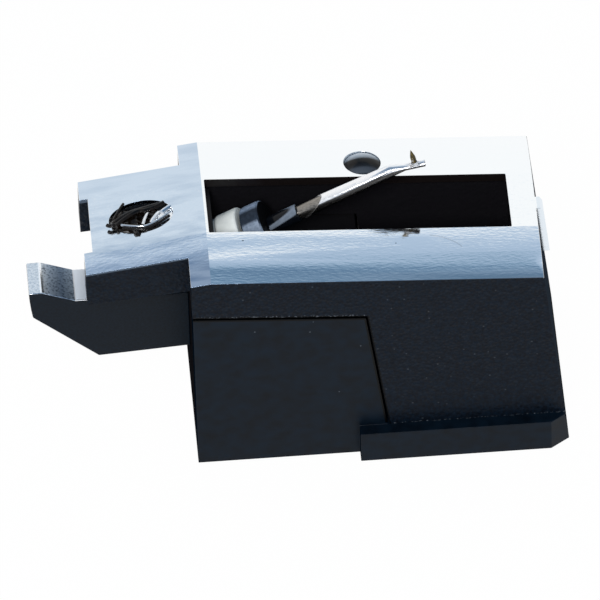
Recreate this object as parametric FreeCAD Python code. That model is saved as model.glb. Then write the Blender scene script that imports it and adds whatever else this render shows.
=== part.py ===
import FreeCAD, Part
import math
import os

os.makedirs("parts", exist_ok=True)
V = FreeCAD.Vector

# All sizes are in millimetres. The stylus lies on its open base with the tip up.
# X runs from the rear tongue to the front, Y across, Z up.

# Driving dimensions of the silver shroud
body_half_width = 3.63
flat_half_width = 1.35
nose_flat_half_width = 1.51
ridge_x = 0.44
ridge_z = 9.36
front_fall = 0.066
nose_fall = 0.145
side_drop = 0.345
side_drop_middle = 0.110
shroud_depth = 0.37
nose_depth = 0.17
shroud_front_x = 12.31
shroud_rear_x = -0.28
nose_half_width = 2.37
nose_rear_x = -3.95
nose_notch = 0.30
window_rear_x = 0.54
window_front_x = 11.36
window_corner = 0.06
sight_hole_radius = 0.67
sight_hole_x = 6.27
sight_hole_y = 2.13
port_x = -1.82
port_half_length = 1.15
port_half_width = 0.80
cue_rib_width = 0.60
cue_rib_depth = 0.28
cue_rib_low_drop = 3.10
cue_rib_low_z = ridge_z - cue_rib_low_drop
cue_rib_high_drop = 0.94
cue_rib_high_z = ridge_z - cue_rib_high_drop

# Driving dimensions of the two black mouldings
rear_base_x = -0.23
rear_draft = -0.003
rear_step = 0.01
front_rake = 0.102
front_edge_drop = 1.05
front_edge_z = ridge_z - front_edge_drop
rail_height = 1.35
rail_half_width = 4.10
rail_rear_x = 5.605
rail_front_x = shroud_front_x + front_rake * front_edge_z
rail_corner = 0.68
panel_rear_top_drop = 2.126
panel_rear_top_z = ridge_z - panel_rear_top_drop
panel_front_x = 5.925
panel_front_top_drop = 2.585
panel_front_top_z = ridge_z - panel_front_top_drop
panel_front_rake = 0.127
panel_top_gap = 0.11
panel_front_gap = 0.08
lap_length = 0.50
lap_depth = 0.40
lap_clearance = 0.03
socket_half_width = 2.60
socket_rear_x = 1.00
socket_front_x = 11.60
socket_ceiling_drop = 3.76
socket_ceiling_z = ridge_z - socket_ceiling_drop
front_floor_depth = 0.50
front_floor_z = socket_ceiling_z - front_floor_depth
channel_half_width = 1.60
channel_front_x = 11.45
nose_rail_rear_drop = 2.23
nose_rail_rear_z = ridge_z - nose_rail_rear_drop
nose_rail_front_drop = 1.875
nose_rail_front_z = ridge_z - nose_rail_front_drop
saddle_front_x = 0.72
saddle_clearance = 0.05
stud_gap = 0.05
stud_rise = 0.06
stud_crown = 0.28

# Driving dimensions of the rear tongue
tongue_half_width = 0.80
tongue_end_x = -5.97
tongue_lip_x = -5.50
tongue_lip_drop = 3.06
tongue_lip_z = ridge_z - tongue_lip_drop
tongue_top_x = -4.30
tongue_top_drop = 3.53
tongue_top_z = ridge_z - tongue_top_drop
tongue_heel_x = -5.86
tongue_heel_drop = 4.27
tongue_heel_z = ridge_z - tongue_heel_drop
tongue_keel_x = -3.55
tongue_keel_drop = 6.40
tongue_keel_z = ridge_z - tongue_keel_drop
tongue_root_drop = 6.17
tongue_root_z = ridge_z - tongue_root_drop
tenon_depth = 0.55
tenon_half_width = 0.50
tenon_margin = 0.45

# Driving dimensions of the cantilever and its suspension
axis_slope = 0.5345
axis_x = 4.35
axis_drop = 0.365
axis_z = ridge_z - axis_drop
ferrule_rear_x = 0.30
ferrule_front_x = 1.31
ferrule_radius = 1.05
bush_front_x = 2.03
bush_radius = 1.11
bush_bore = 0.26
trough_clearance = 0.05
damper_front_x = 2.79
damper_radius = 1.00
damper_round = 0.10
magnet_front_x = 3.86
magnet_radius = 0.33
magnet_socket = 0.36
wire_radius = 0.05
wire_hold = 0.30
sleeve_radius = 0.235
sleeve_wall = 0.045
sleeve_front_x = 5.65
tube_rear_x = 4.82
tube_lip = 0.92
tube_rear_radius = 0.290
tube_bend_radius = 0.225
tube_bore = 0.14
bend_x = 7.205
tip_slope = 0.21
diamond_x = 8.04
flat_behind = 0.38
flat_ahead = 0.35
flat_start_x = diamond_x - flat_behind
flat_end_x = diamond_x + flat_ahead
flat_half_breadth = 0.135
flat_half_depth = 0.105
diamond_radius = 0.10
diamond_shank = 0.30
diamond_height = 0.67
diamond_point = 0.012
cement_radius = 0.15
cement_height = 0.08

# Derived positions
middle_x = (rail_front_x + tongue_end_x) / 2
axis_length = (1 + axis_slope**2) ** 0.5
along_axis = V(1 / axis_length, 0, axis_slope / axis_length)
tip_length = (1 + tip_slope**2) ** 0.5
up_tip = V(-tip_slope / tip_length, 0, 1 / tip_length)
high = ridge_z + 3
low = -1


def ridge(x):
    if x > ridge_x:
        return ridge_z - front_fall * (x - ridge_x)
    return ridge_z - nose_fall * (ridge_x - x)


def underside(x):
    return ridge(x) - (shroud_depth if x > shroud_rear_x else nose_depth)


def rear_face(z):
    return rear_base_x + rear_draft * z


def front_face(z):
    return shroud_front_x + front_rake * (front_edge_z - z)


def panel_front(z):
    return panel_front_x + panel_front_rake * (panel_front_top_z - z)


def axis_height(x):
    return axis_z + axis_slope * (x - axis_x)


def axis_point(x):
    return V(x, 0, axis_height(x))


def tip_point(x):
    return V(x, 0, axis_height(bend_x) + tip_slope * (x - bend_x))


def block(x0, x1, half_width, z0, z1):
    return Part.makeBox(x1 - x0, 2 * half_width, z1 - z0, V(x0, -half_width, z0))


def side_prism(points, y0, y1):
    corners = [V(x, y0, z) for x, z in points]
    outline = Part.makePolygon(corners + corners[:1])
    return Part.Face(outline).extrude(V(0, y1 - y0, 0))


def plan_prism(points, z0, z1):
    corners = [V(x, y, z0) for x, y in points]
    outline = Part.makePolygon(corners + corners[:1])
    return Part.Face(outline).extrude(V(0, 0, z1 - z0))


def barrel(x0, x1, radius):
    start = axis_point(x0)
    length = (axis_point(x1) - start).Length
    return Part.makeCylinder(radius, length, start, along_axis)


def ellipse_wire(centre, across, upward, half_across, half_up):
    # Eight arcs keep the small tube round.
    curve = Part.Ellipse(centre + across * half_across, centre + upward * half_up, centre)
    eighth = math.pi / 4
    return Part.Wire([curve.toShape(i * eighth, (i + 1) * eighth) for i in range(8)])


def port_prism(z0, z1):
    centre = V(port_x, 0, z0)
    curve = Part.Ellipse(centre + V(port_half_length, 0, 0), centre + V(0, port_half_width, 0), centre)
    return Part.Face(Part.Wire([curve.toShape()])).extrude(V(0, 0, z1 - z0))


def above_underside():
    rear_x = nose_rear_x - 1
    front_x = rail_front_x + 1
    points = [
        (rear_x, underside(rear_x)),
        (shroud_rear_x, underside(shroud_rear_x)),
        (shroud_rear_x, ridge(shroud_rear_x) - shroud_depth),
        (ridge_x, underside(ridge_x)),
        (front_x, underside(front_x)),
        (front_x, high),
        (rear_x, high),
    ]
    return side_prism(points, -rail_half_width, rail_half_width)


def roof_section(x, flat):
    # The flat crown turns down through a shallow arc to each side edge.
    crown_z = ridge(x)
    edge_z = crown_z - side_drop
    base_z = crown_z - shroud_depth
    middle_y = (flat + body_half_width) / 2
    arc_z = crown_z - side_drop_middle

    def at(y, z):
        return V(x, y, z)

    far_arc = Part.Arc(at(flat, crown_z), at(middle_y, arc_z), at(body_half_width, edge_z))
    near_arc = Part.Arc(at(-body_half_width, edge_z), at(-middle_y, arc_z), at(-flat, crown_z))
    edges = [
        near_arc.toShape(),
        Part.makeLine(at(-flat, crown_z), at(flat, crown_z)),
        far_arc.toShape(),
        Part.makeLine(at(body_half_width, edge_z), at(body_half_width, base_z)),
        Part.makeLine(at(body_half_width, base_z), at(-body_half_width, base_z)),
        Part.makeLine(at(-body_half_width, base_z), at(-body_half_width, edge_z)),
    ]
    return Part.Wire(edges)


def make_shroud():
    # One folded roof runs forward and rearward from the ridge.
    crest = roof_section(ridge_x, flat_half_width)
    forward = shroud_front_x - ridge_x
    front = Part.Face(crest).extrude(V(forward, 0, -front_fall * forward))
    rear = Part.makeLoft([roof_section(nose_rear_x, nose_flat_half_width), crest], True, True)
    roof = front.fuse(rear)
    below_nose = side_prism(
        [
            (nose_rear_x - 1, low),
            (shroud_rear_x, low),
            (shroud_rear_x, underside(shroud_rear_x)),
            (nose_rear_x - 1, underside(nose_rear_x - 1)),
        ],
        -body_half_width - 1,
        body_half_width + 1,
    )
    roof = roof.cut(below_nose)
    side = body_half_width + 1
    for sign in (-1, 1):
        strip = Part.makeBox(
            shroud_rear_x - nose_rear_x + 1,
            side - nose_half_width,
            high,
            V(nose_rear_x - 1, nose_half_width if sign > 0 else -side, 0),
        )
        roof = roof.cut(strip)
    window = block(window_rear_x, window_front_x, flat_half_width, 0, high)
    upright = [e for e in window.Edges if abs(e.Vertexes[0].Z - e.Vertexes[1].Z) > 1]
    roof = roof.cut(window.makeFillet(window_corner, upright))
    roof = roof.cut(block(nose_rear_x - 1, nose_rear_x + nose_notch, flat_half_width, 0, high))
    roof = roof.cut(port_prism(0, high))
    roof = roof.cut(Part.makeCylinder(sight_hole_radius, high, V(sight_hole_x, sight_hole_y, 0)))
    rib = side_prism(
        [
            (front_face(front_edge_z), cue_rib_high_z),
            (front_face(front_edge_z) + cue_rib_depth * 0.6, cue_rib_high_z),
            (front_face(front_edge_z) + cue_rib_depth, cue_rib_high_z - 0.18),
            (front_face(cue_rib_low_z) + cue_rib_depth, cue_rib_low_z),
            (front_face(cue_rib_low_z), cue_rib_low_z),
            (front_face(front_edge_z), front_edge_z),
        ],
        -cue_rib_width / 2,
        cue_rib_width / 2,
    )
    return roof.fuse(rib).removeSplitter()


def make_shell():
    # The textured moulding carries the shroud and closes the front.
    strip_rear_z = panel_rear_top_z + panel_top_gap
    strip_front_z = panel_front_top_z + panel_top_gap
    outline = [
        (rear_face(strip_rear_z) - rear_step, strip_rear_z),
        (panel_front(strip_front_z) + panel_front_gap, strip_front_z),
        (panel_front(rail_height) + panel_front_gap, rail_height),
        (front_face(rail_height), rail_height),
        (front_face(high), high),
        (rear_face(high) - rear_step, high),
    ]
    shell = side_prism(outline, -body_half_width, body_half_width)
    shell = shell.cut(block(-2, channel_front_x, channel_half_width, front_floor_z + front_floor_depth, high))
    shell = shell.cut(block(panel_front_x - 2, socket_front_x, socket_half_width, 0, front_floor_z))
    for sign in (-1, 1):
        inner = sign * flat_half_width
        outer = sign * nose_half_width
        nose_rail = side_prism(
            [
                (nose_rear_x, nose_rail_rear_z),
                (shroud_rear_x, nose_rail_front_z),
                (window_rear_x, nose_rail_front_z),
                (window_rear_x, high),
                (nose_rear_x, high),
            ],
            min(inner, outer),
            max(inner, outer),
        )
        shell = shell.fuse(nose_rail)
    shell = shell.cut(above_underside())
    for sign in (-1, 1):
        shell = shell.cut(seam_lap(sign, lap_clearance))
    return shell.fuse(sight_stud()).removeSplitter()


def sight_stud():
    # A domed stud stands in the round hole of the far band.
    radius = sight_hole_radius - stud_gap
    foot_z = underside(sight_hole_x) - 0.10
    crown_z = ridge(sight_hole_x) - side_drop_middle / 2 + stud_rise
    ball_radius = (radius * radius + stud_crown * stud_crown) / (2 * stud_crown)
    post = Part.makeCylinder(radius, crown_z - foot_z, V(sight_hole_x, sight_hole_y, foot_z))
    ball = Part.makeSphere(ball_radius, V(sight_hole_x, sight_hole_y, crown_z - ball_radius))
    return post.common(ball)


def seam_lap(sign, margin):
    # Behind each panel's front edge a thin leaf covers the seam from inside.
    inner = sign * (socket_half_width - 1 if margin else socket_half_width)
    outer = sign * (socket_half_width + lap_depth + margin)
    high_z = panel_front_top_z - 0.15
    leaf = side_prism(
        [
            (panel_front(rail_height) - 0.3, rail_height),
            (panel_front(rail_height) + lap_length + margin, rail_height),
            (panel_front(high_z) + lap_length + margin, high_z + margin),
            (panel_front(high_z) - 0.3, high_z + margin),
        ],
        min(inner, outer),
        max(inner, outer),
    )
    if margin:
        return leaf.cut(block(-2, shroud_front_x, socket_half_width, front_floor_z, high))
    return leaf


def make_carrier():
    # The smooth moulding has the side panels, base flange, floor and saddle.
    panel = [
        (rear_face(0), 0),
        (rear_face(panel_rear_top_z), panel_rear_top_z),
        (panel_front_x, panel_front_top_z),
        (panel_front(rail_height), rail_height),
        (panel_front(rail_height), 0),
    ]
    carrier = side_prism(panel, -body_half_width, body_half_width)
    flange = plan_prism(
        [
            (rail_rear_x, -rail_half_width),
            (rail_front_x - rail_corner, -rail_half_width),
            (rail_front_x, -body_half_width),
            (rail_front_x, body_half_width),
            (rail_front_x - rail_corner, rail_half_width),
            (rail_rear_x, rail_half_width),
        ],
        0,
        rail_height,
    )
    rake = side_prism(
        [
            (rail_front_x, 0),
            (rail_front_x + 1, 0),
            (rail_front_x + 1, rail_height + 1),
            (front_face(rail_height + 1), rail_height + 1),
            (front_face(rail_height), rail_height),
        ],
        -rail_half_width,
        rail_half_width,
    )
    carrier = carrier.fuse(flange.cut(rake))
    saddle = side_prism(
        [
            (rear_face(socket_ceiling_z), socket_ceiling_z),
            (rear_face(ridge_z), ridge_z),
            (saddle_front_x, ridge_z),
            (saddle_front_x, socket_ceiling_z),
        ],
        -flat_half_width + saddle_clearance,
        flat_half_width - saddle_clearance,
    )
    clear = above_underside()
    clear.translate(V(0, 0, -saddle_clearance))
    carrier = carrier.fuse(saddle.cut(clear))
    for sign in (-1, 1):
        carrier = carrier.fuse(seam_lap(sign, 0))
    floor_leaf = block(
        panel_front_x - 0.3,
        panel_front_x + lap_length + panel_front_gap,
        channel_half_width - lap_clearance,
        socket_ceiling_z + lap_clearance,
        socket_ceiling_z + lap_depth,
    )
    carrier = carrier.fuse(floor_leaf)
    carrier = carrier.cut(block(socket_rear_x, socket_front_x, socket_half_width, low, socket_ceiling_z))
    carrier = carrier.cut(barrel(ferrule_rear_x, ferrule_front_x, ferrule_radius))
    carrier = carrier.cut(barrel(ferrule_front_x - 0.3, damper_front_x + 1, bush_radius + trough_clearance))
    return carrier.cut(tenon()).removeSplitter()


def tenon():
    low_z = tongue_root_z + tenon_margin
    high_z = tongue_top_z - tenon_margin
    return block(rear_face(high_z) - 0.2, tenon_depth + rear_face(high_z), tenon_half_width, low_z, high_z)


def make_tongue():
    # The central fin drops from a flat lip and ends at the rear wall.
    y = -tongue_half_width
    lip = V(tongue_lip_x, y, tongue_lip_z + 0.02)
    shelf = V(tongue_top_x, y, tongue_top_z)
    end = V(tongue_end_x, y, tongue_lip_z)
    heel = V(tongue_heel_x, y, tongue_heel_z)
    nose = V((tongue_end_x + tongue_heel_x) / 2 - 0.02, y, (tongue_lip_z + tongue_heel_z) / 2)
    root_top = V(rear_face(tongue_top_z), y, tongue_top_z)
    root_low = V(rear_face(tongue_root_z), y, tongue_root_z)
    keel = V(tongue_keel_x, y, tongue_keel_z)
    edges = [
        Part.makeLine(end, lip),
        Part.makeLine(lip, shelf),
        Part.makeLine(shelf, root_top),
        Part.makeLine(root_top, root_low),
        Part.makeLine(root_low, keel),
        Part.makeLine(keel, heel),
        Part.Arc(heel, nose, end).toShape(),
    ]
    fin = Part.Face(Part.Wire(edges)).extrude(V(0, 2 * tongue_half_width, 0))
    return fin.fuse(tenon()).removeSplitter()


def make_ferrule():
    return barrel(ferrule_rear_x, ferrule_front_x, ferrule_radius).cut(make_wire())


def make_bush():
    body = barrel(ferrule_front_x, bush_front_x, bush_radius)
    return body.cut(barrel(ferrule_front_x, bush_front_x, bush_bore))


def make_damper():
    body = barrel(bush_front_x, damper_front_x, damper_radius)
    rims = [e for e in body.Edges if e.Closed and e.Length > 1]
    return body.makeFillet(damper_round, rims).cut(make_wire())


def make_wire():
    return barrel(ferrule_rear_x, damper_front_x + wire_hold, wire_radius)


def make_magnet():
    body = barrel(damper_front_x, magnet_front_x, magnet_radius)
    body = body.cut(make_wire())
    return body.cut(barrel(magnet_front_x - magnet_socket, magnet_front_x, sleeve_radius))


def make_sleeve():
    outside = barrel(magnet_front_x - magnet_socket, sleeve_front_x, sleeve_radius)
    return outside.cut(barrel(magnet_front_x - magnet_socket, sleeve_front_x, sleeve_radius - sleeve_wall))


def make_tube():
    # The tapered tube is cut on a slant behind, bent and flattened ahead.
    rear_x = tube_rear_x - tube_lip
    across = V(0, 1, 0)
    upward = V(-axis_slope / axis_length, 0, 1 / axis_length)
    sections = [
        ellipse_wire(axis_point(rear_x), across, upward, tube_rear_radius * 1.002, tube_rear_radius),
        ellipse_wire(axis_point(bend_x), across, upward, tube_bend_radius * 1.002, tube_bend_radius),
        ellipse_wire(tip_point(flat_start_x), across, up_tip, flat_half_breadth, flat_half_depth),
        ellipse_wire(tip_point(flat_end_x), across, up_tip, flat_half_breadth, flat_half_depth),
    ]
    body = Part.makeLoft(sections, True, True)
    body = body.cut(barrel(rear_x - 0.1, sleeve_front_x, sleeve_radius))
    body = body.cut(barrel(sleeve_front_x - 0.1, bend_x - 0.3, tube_bore))
    reach = 2 * tube_rear_radius
    top = axis_point(tube_rear_x) + upward * tube_rear_radius
    bottom = axis_point(rear_x) - upward * tube_rear_radius
    slant = [
        (top.x, top.z),
        (bottom.x, bottom.z),
        (bottom.x - reach, bottom.z),
        (bottom.x - reach, top.z),
    ]
    body = body.cut(side_prism(slant, -reach, reach))
    return body.cut(diamond_shank_body()).removeSplitter()


def diamond_foot():
    return tip_point(diamond_x) - up_tip * flat_half_depth


def diamond_shank_body():
    return Part.makeCylinder(diamond_radius, flat_half_depth * 2 + diamond_shank, diamond_foot(), up_tip)


def make_diamond():
    shank = diamond_shank_body()
    shoulder = diamond_foot() + up_tip * (flat_half_depth * 2 + diamond_shank)
    point = Part.makeCone(diamond_radius, diamond_point, diamond_height - diamond_shank, shoulder, up_tip)
    return shank.fuse(point).removeSplitter()


def make_tip_cement():
    foot = tip_point(diamond_x)
    collar_height = flat_half_depth + cement_height
    collar = Part.makeCone(cement_radius, diamond_radius + 0.01, collar_height, foot, up_tip)
    return collar.cut(diamond_shank_body()).cut(make_tube())


def clip_body():
    rear_x = port_x + port_half_length * 0.52
    top = ridge(port_x) + 0.02
    return block(rear_x, port_x + port_half_length, port_half_width * 0.62, underside(port_x) - 0.25, top)


def make_port_clip():
    return clip_body().common(port_prism(0, high))


def make_port_cement():
    plug = port_prism(underside(port_x) - 0.30, ridge(port_x) - 0.16)
    return plug.cut(clip_body())


def export(node, shape):
    if not shape.isValid():
        shape.fix(0.001, 0.001, 0.001)
    solids = shape.Solids
    if len(solids) != 1:
        print("solids in", node, [round(s.Volume, 4) for s in solids])
    placed = max(solids, key=lambda s: s.Volume).copy()
    placed.translate(V(-middle_x, 0, 0))
    placed.exportStep("parts/" + node + ".step")
    box = placed.BoundBox
    sizes = (box.XMin, box.XMax, box.YMin, box.YMax, box.ZMin, box.ZMax)
    print(node, round(placed.Volume, 4), [round(v, 3) for v in sizes])


export("silver_shroud", make_shroud())
export("outer_shell", make_shell())
export("inner_carrier", make_carrier())
export("rear_tongue", make_tongue())
export("bush_ferrule", make_ferrule())
export("suspension_bush", make_bush())
export("rubber_damper", make_damper())
export("tie_wire", make_wire())
export("rod_magnet", make_magnet())
export("inner_sleeve", make_sleeve())
export("cantilever_tube", make_tube())
export("diamond_tip", make_diamond())
export("tip_cement", make_tip_cement())
export("port_clip", make_port_clip())
export("port_cement", make_port_cement())
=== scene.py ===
import bpy
import math
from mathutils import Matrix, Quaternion, Vector


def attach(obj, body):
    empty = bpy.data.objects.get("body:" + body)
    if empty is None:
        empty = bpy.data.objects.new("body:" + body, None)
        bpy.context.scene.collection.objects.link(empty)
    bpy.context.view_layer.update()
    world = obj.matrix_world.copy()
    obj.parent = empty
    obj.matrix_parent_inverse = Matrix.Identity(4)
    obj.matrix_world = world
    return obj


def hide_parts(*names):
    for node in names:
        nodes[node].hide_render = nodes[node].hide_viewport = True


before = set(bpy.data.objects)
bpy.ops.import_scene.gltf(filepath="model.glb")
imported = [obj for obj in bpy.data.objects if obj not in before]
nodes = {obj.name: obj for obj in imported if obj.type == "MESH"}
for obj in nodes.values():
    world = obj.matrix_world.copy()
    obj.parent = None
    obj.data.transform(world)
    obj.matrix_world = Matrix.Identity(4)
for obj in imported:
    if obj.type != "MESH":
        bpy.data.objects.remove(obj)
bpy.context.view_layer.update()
print("frame loaded:", len(nodes), "nodes")

mm = 0.001
originX = 3.594  # the drawing counts x from the rear wall, in mm
suspension = {"slope": 0.5345, "x": 4.35, "z": 8.995}
crestX = 0.44  # the fold across the roof
channelY = (-2.6, 2.6)  # between the walls of the channel below the window
sightHole = {"middle": (6.27, 2.13), "rim": 8.80, "reach": 0.85, "faceArea": 0.05}
# The seams round the smooth panel are dark joints, with painted shadow along them under the shell's edge
panelSeam = {"fall": 0.0746, "rake": 0.127, "colour": "#010203"}
noiseLow, noiseHigh = 0.3, 0.7  # most of a noise pattern lies between these
endTurn = 0.8  # a face whose normal has more than this along x is an end face
tiltAngle = math.atan(suspension["slope"])
axisDirection = Vector((math.cos(tiltAngle), 0, math.sin(tiltAngle)))


def place(x, y, z):
    return Vector(((x - originX) * mm, y * mm, z * mm))


def axisAt(x):
    return place(x, 0, suspension["z"] + suspension["slope"] * (x - suspension["x"]))


def toLinear(hexColour):
    channels = [int(hexColour[i : i + 2], 16) / 255 for i in (1, 3, 5)]
    return tuple(c / 12.92 if c <= 0.04045 else ((c + 0.055) / 1.055) ** 2.4 for c in channels) + (1.0,)


def toStops(tones):
    return [(at, toLinear(tone)) for at, tone in tones]


def setInputs(tree, node, inputs):
    for socket, value in inputs.items():
        if isinstance(value, bpy.types.NodeSocket):
            tree.links.new(value, node.inputs[socket])
        else:
            node.inputs[socket].default_value = value


def addNode(tree, kind, inputs, out=0, stops=(), **settings):
    # adds one node with its settings and links, and gives back the output that is used
    node = tree.nodes.new(kind)
    for name, value in settings.items():
        setattr(node, name, value)
    setInputs(tree, node, inputs)
    for index, (position, colour) in enumerate(stops):
        if index >= len(node.color_ramp.elements):
            node.color_ramp.elements.new(1.0)
        node.color_ramp.elements[index].position = position
        node.color_ramp.elements[index].color = colour
    return node.outputs[out]


def startMaterial(name, **sockets):
    material = bpy.data.materials.new(name)
    material.use_nodes = True
    tree = material.node_tree
    shader = tree.nodes["Principled BSDF"]
    setInputs(tree, shader, {socket.replace("_", " "): value for socket, value in sockets.items()})
    coords = addNode(tree, "ShaderNodeTexCoord", {}, "Object")
    return material, tree, shader, coords


def cells(*size):
    # pattern scale for cells of the given size in mm
    return [1 / (s * mm) for s in size]


def band(low, high, middle=0.0):
    # middle and reach of a compare node for a stretch of the drawing in mm
    return {1: ((low + high) / 2 - middle) * mm, 2: (high - low) / 2 * mm}


# Metallised ABS: a bright mirror coat over a moulding with fine flow lines along it
def makeMetallised():
    look = {
        "colour": toLinear("#F8FAFC"),
        "tintColour": toLinear("#C4D0DD"),
        "speckColour": toLinear("#8B929A"),
        "wallColour": toLinear("#140E0D"),
        "nearFaceShade": toLinear("#4E5A69"),
        "ribColour": toLinear("#E4ECF3"),
        "flow": cells(0.24, 0.08, 0.08),
        "cloud": cells(2.4, 0.4, 0.4),
        "hairline": cells(0.5, 0.03, 0.03),
        "specks": cells(2.4, 1.7, 1.9),
        "speckReach": (0.022, 0.014),
        "cloudSpan": (0.42, 0.68),
        "hairShare": 0.35,
        "uprightBelow": 0.6,
        "sideTurn": 0.5,
        "bump": 0.009 * mm,
        "windowX": (0.48, 11.42),
        "windowY": (-1.362, 1.362),
        "rimX": (-4.2, 12.29),
        "ribX": 12.36,
        "scratchMiddle": place(8.2, -3.5, 8.8),
        "scratchRadius": (1.79, 1.85),
        "scratchX": (8.4, 9.5),
        "scratchTone": 0.25,
        "scratchHeight": 1.1,
        "nearShadeY": (1.4, -1.6),
        "nearShadeShare": (0.3, 1.0),
        "calm": place(7.8, -1.6, 8.8),  # fewer flow lines below the tip
        "calmReach": (0.5, 1.0),
        "calmShare": 0.3,
        "rough": (0.03, 0.09),
        "wallRough": 0.35,
    }
    material, tree, shader, coords = startMaterial("Metallised ABS silver")
    hole = place(*sightHole["middle"], sightHole["rim"])
    x, y = [addNode(tree, "ShaderNodeSeparateXYZ", {0: coords}, axis) for axis in "XY"]
    normal = addNode(tree, "ShaderNodeNewGeometry", {}, "Normal")
    rise, turn = [addNode(tree, "ShaderNodeSeparateXYZ", {0: normal}, axis) for axis in "ZY"]
    upright = addNode(
        tree, "ShaderNodeMath", {0: rise, 1: look["uprightBelow"]}, operation="LESS_THAN"
    )
    farWall = addNode(tree, "ShaderNodeMath", {0: turn, 1: look["sideTurn"]}, operation="LESS_THAN")
    onRib = addNode(
        tree, "ShaderNodeMath", {0: x, 1: (look["ribX"] - originX) * mm}, operation="GREATER_THAN"
    )
    inLength = addNode(
        tree, "ShaderNodeMath", {0: x, **band(*look["windowX"], originX)}, operation="COMPARE"
    )
    inWidth = addNode(tree, "ShaderNodeMath", {0: y, **band(*look["windowY"])}, operation="COMPARE")
    inRim = addNode(tree, "ShaderNodeMath", {0: x, **band(*look["rimX"], originX)}, operation="COMPARE")
    inWindow = addNode(tree, "ShaderNodeMath", {0: inLength, 1: inWidth}, operation="MULTIPLY")
    inside = addNode(tree, "ShaderNodeMath", {0: inWindow, 1: upright}, operation="MULTIPLY")
    wall = addNode(tree, "ShaderNodeMath", {0: inside, 1: farWall}, operation="MULTIPLY")
    # Painted shade: the coat's near-facing upright faces, away from the sight hole, are painted a darker
    # blue-grey
    facingNear = addNode(
        tree, "ShaderNodeMath", {0: turn, 1: -look["sideTurn"]}, operation="LESS_THAN"
    )
    edges = addNode(tree, "ShaderNodeMath", {0: inRim, 1: facingNear}, operation="MULTIPLY")
    away = addNode(tree, "ShaderNodeVectorMath", {0: coords, 1: hole}, "Value", operation="DISTANCE")
    offHole = addNode(
        tree, "ShaderNodeMath", {0: away, 1: sightHole["reach"] * mm}, operation="GREATER_THAN"
    )
    rim = addNode(tree, "ShaderNodeMath", {0: edges, 1: offHole}, operation="MULTIPLY")
    alongFlow = addNode(tree, "ShaderNodeMapping", {"Vector": coords, "Scale": look["flow"]})
    alongHair = addNode(tree, "ShaderNodeMapping", {"Vector": coords, "Scale": look["hairline"]})
    atSpecks = addNode(tree, "ShaderNodeMapping", {"Vector": coords, "Scale": look["specks"]})
    flow = addNode(tree, "ShaderNodeTexNoise", {"Vector": alongFlow, "Scale": 1.0, "Detail": 3.0})
    hairs = addNode(tree, "ShaderNodeTexNoise", {"Vector": alongHair, "Scale": 1.0, "Detail": 3.0})
    fromSpeck = addNode(tree, "ShaderNodeTexVoronoi", {"Vector": atSpecks, "Scale": 1.0}, "Distance")
    outer, inner = look["speckReach"]
    dots = addNode(tree, "ShaderNodeMapRange", {"Value": fromSpeck, 1: outer, 2: inner})
    atCloud = addNode(tree, "ShaderNodeMapping", {"Vector": coords, "Scale": look["cloud"]})
    cloud = addNode(tree, "ShaderNodeTexNoise", {"Vector": atCloud, "Scale": 1.0, "Detail": 5.0})
    clear, full = look["cloudSpan"]
    thin = addNode(tree, "ShaderNodeMapRange", {"Value": cloud, 1: clear, 2: full})
    # A cloudy tint on the nose, random in tone, and deeper towards the near side as painted shade
    onNose = addNode(tree, "ShaderNodeMath", {0: x, 1: (crestX - originX) * mm}, operation="LESS_THAN")
    farSide, nearSide = [spot * mm for spot in look["nearShadeY"]]
    least, most = look["nearShadeShare"]
    nearSideShade = addNode(
        tree, "ShaderNodeMapRange", {"Value": y, 1: farSide, 2: nearSide, 3: least, 4: most}
    )
    noseTint = addNode(tree, "ShaderNodeMath", {0: thin, 1: onNose}, operation="MULTIPLY")
    tint = addNode(tree, "ShaderNodeMath", {0: noseTint, 1: nearSideShade}, operation="MULTIPLY")
    tinted = addNode(
        tree, "ShaderNodeMix", {0: tint, 6: look["colour"], 7: look["tintColour"]}, 2, data_type="RGBA"
    )
    around = addNode(
        tree, "ShaderNodeVectorMath", {0: coords, 1: look["scratchMiddle"]}, "Value", operation="DISTANCE"
    )
    onArc = addNode(
        tree, "ShaderNodeMath", {0: around, **band(*look["scratchRadius"])}, operation="COMPARE"
    )
    onSpan = addNode(
        tree, "ShaderNodeMath", {0: x, **band(*look["scratchX"], originX)}, operation="COMPARE"
    )
    scratch = addNode(tree, "ShaderNodeMath", {0: onArc, 1: onSpan}, operation="MULTIPLY")
    dulled = addNode(
        tree, "ShaderNodeMath", {0: scratch, 1: look["scratchTone"], 2: dots}, operation="MULTIPLY_ADD"
    )
    coat = addNode(
        tree, "ShaderNodeMix", {0: dulled, 6: tinted, 7: look["speckColour"]}, 2, data_type="RGBA"
    )
    ribbed = addNode(
        tree, "ShaderNodeMix", {0: onRib, 6: coat, 7: look["ribColour"]}, 2, data_type="RGBA"
    )
    nearShaded = addNode(
        tree, "ShaderNodeMix", {0: rim, 6: ribbed, 7: look["nearFaceShade"]}, 2, data_type="RGBA"
    )
    colour = addNode(
        tree, "ShaderNodeMix", {0: wall, 6: nearShaded, 7: look["wallColour"]}, 2, data_type="RGBA"
    )
    metal = addNode(tree, "ShaderNodeMath", {0: 1.0, 1: wall}, operation="SUBTRACT")
    low, high = look["rough"]
    gloss = addNode(
        tree, "ShaderNodeMapRange", {"Value": hairs, 1: noiseLow, 2: noiseHigh, 3: low, 4: high}
    )
    rough = addNode(
        tree, "ShaderNodeMath", {0: wall, 1: look["wallRough"], 2: gloss}, operation="MULTIPLY_ADD"
    )
    streaks = addNode(
        tree, "ShaderNodeMath", {0: hairs, 1: look["hairShare"], 2: flow}, operation="MULTIPLY_ADD"
    )
    fromCalm = addNode(
        tree, "ShaderNodeVectorMath", {0: coords, 1: look["calm"]}, "Value", operation="DISTANCE"
    )
    calmFrom, calmTo = [reach * mm for reach in look["calmReach"]]
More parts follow.
